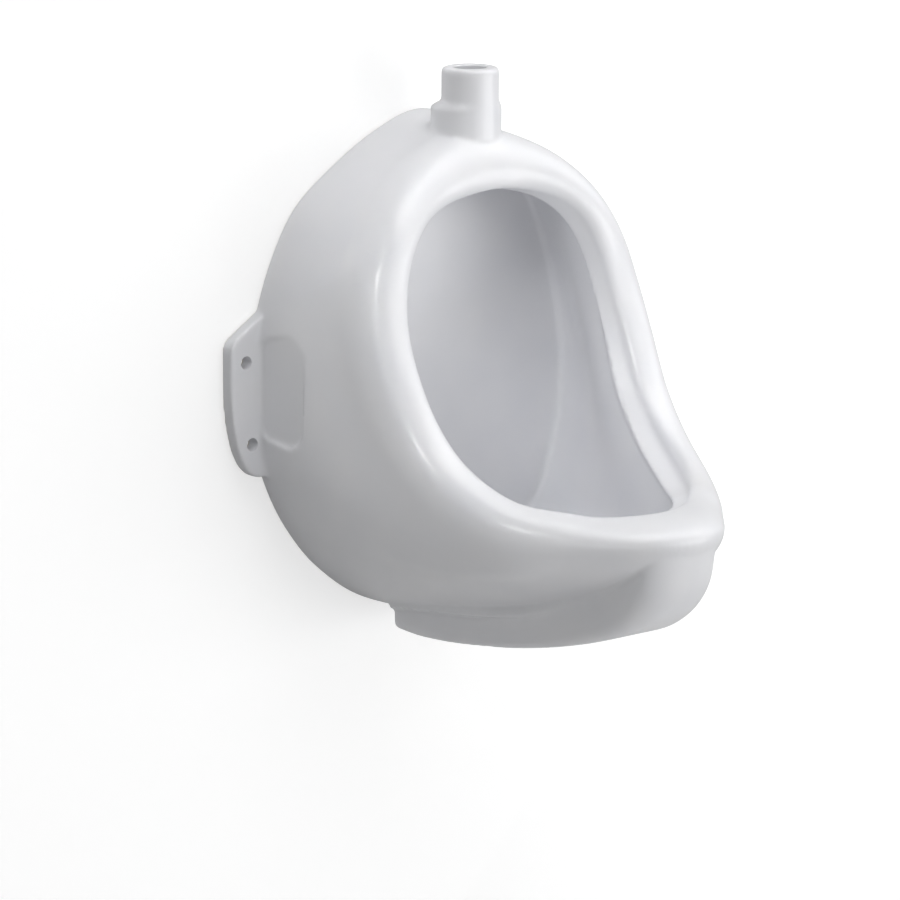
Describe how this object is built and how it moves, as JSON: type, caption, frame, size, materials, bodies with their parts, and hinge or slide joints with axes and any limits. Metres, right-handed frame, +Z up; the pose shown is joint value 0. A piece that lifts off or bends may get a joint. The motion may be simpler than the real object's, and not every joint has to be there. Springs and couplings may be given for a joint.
{
  "type": "wall hung urinal",
  "caption": "Flat-backed wall hung urinal bowl with a projecting lip, rolled flushing rim, side fixing lugs, top inlet horn, low foot and a flanged waste with a lift-out domed grating.",
  "frame": {"origin": "On the wall plane, half way between the centres of the two upper fixing holes", "axes": "+Z up, -Y out from the wall toward the user, +X to the right for someone who faces the wall; the flat back is the plane Y = 0"},
  "size_m": [0.375, 0.3156, 0.4301],
  "materials": {
    "glazed_china": "white gloss glaze on vitreous china",
    "chromed_brass": "polished chrome plate on brass",
    "seal_rubber": "moulded black rubber",
    "white_nylon": "natural white nylon",
    "plain_brass": "machined unplated brass"
  },
  "bodies": {
    "urinal": {"china_body": "glazed_china", "waste_body": "chromed_brass", "flange_seal": "seal_rubber", "rubber_washer": "seal_rubber", "slip_washer": "white_nylon", "back_nut": "plain_brass"},
    "grating": {"domed_grating": "chromed_brass", "grating_seal": "seal_rubber"}
  },
  "joints": [
    {"name": "grating_lift", "type": "slide", "parent": "urinal", "child": "grating", "axis": [0, 0, 1], "range_m": [0, 0.1]}
  ]
}
